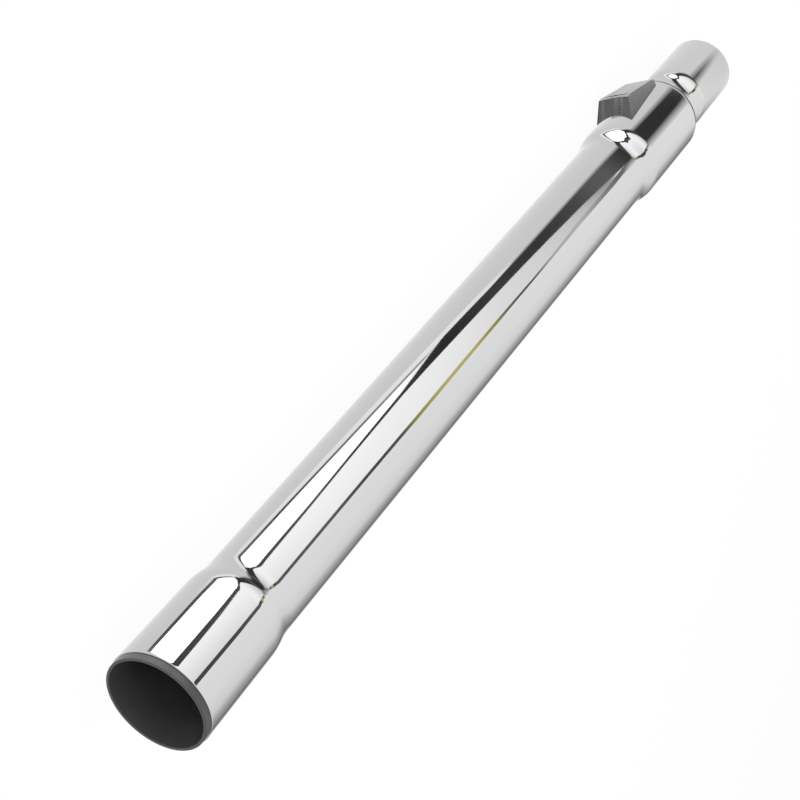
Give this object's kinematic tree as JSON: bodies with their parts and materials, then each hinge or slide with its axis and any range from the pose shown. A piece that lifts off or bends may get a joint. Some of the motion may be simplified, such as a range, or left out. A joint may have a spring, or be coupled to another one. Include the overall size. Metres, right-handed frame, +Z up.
{
  "type": "telescopic vacuum wand",
  "caption": "Chromed telescopic wand for a vacuum cleaner: socket with a black ring at one end, collar with a slide button at the other, and an inner tube that ends in a spigot.",
  "frame": {"origin": "middle of the socket's mouth, on the wand's axis", "axes": "+X along the wand from the socket to the spigot, +Z up as the wand lies on a flat surface"},
  "size_m": [0.4932, 0.0467, 0.039],
  "materials": {
    "chrome": "bright chrome plate",
    "black_plastic": "black satin",
    "grey_plastic": "dark grey satin",
    "natural_plastic": "natural, smooth",
    "spring_steel": "plain steel",
    "zinc_casting": "bare zinc casting",
    "felt": "pressed felt"
  },
  "bodies": {
    "outer": {"outer_tube": "chrome", "socket_liner": "black_plastic", "guide_sleeve": "black_plastic", "return_spring_left": "spring_steel", "return_spring_right": "spring_steel"},
    "inner": {"inner_tube": "chrome", "tail_bush": "natural_plastic", "tail_seal": "felt"},
    "slider": {"lock_slider": "zinc_casting", "slide_button": "grey_plastic"},
    "roller": {"locking_roller": "spring_steel"}
  },
  "joints": [
    {"name": "tube_slide", "type": "slide", "parent": "outer", "child": "inner", "axis": [1, 0, 0], "range_m": [0, 0.312]},
    {"name": "button_slide", "type": "slide", "parent": "outer", "child": "slider", "axis": [1, 0, 0], "range_m": [0, 0.005], "stiffness_N_per_m": 400, "springref_m": -0.004, "deforming": ["return_spring_left", "return_spring_right"]},
    {"name": "roller_lift", "type": "slide", "parent": "outer", "child": "roller", "axis": [0, 0.8821, -0.471], "range_m": [0, 0.0015]}
  ],
  "couplings": [
    {"joint": "roller_lift", "follows": "button_slide", "ratio": 0.3}
  ]
}
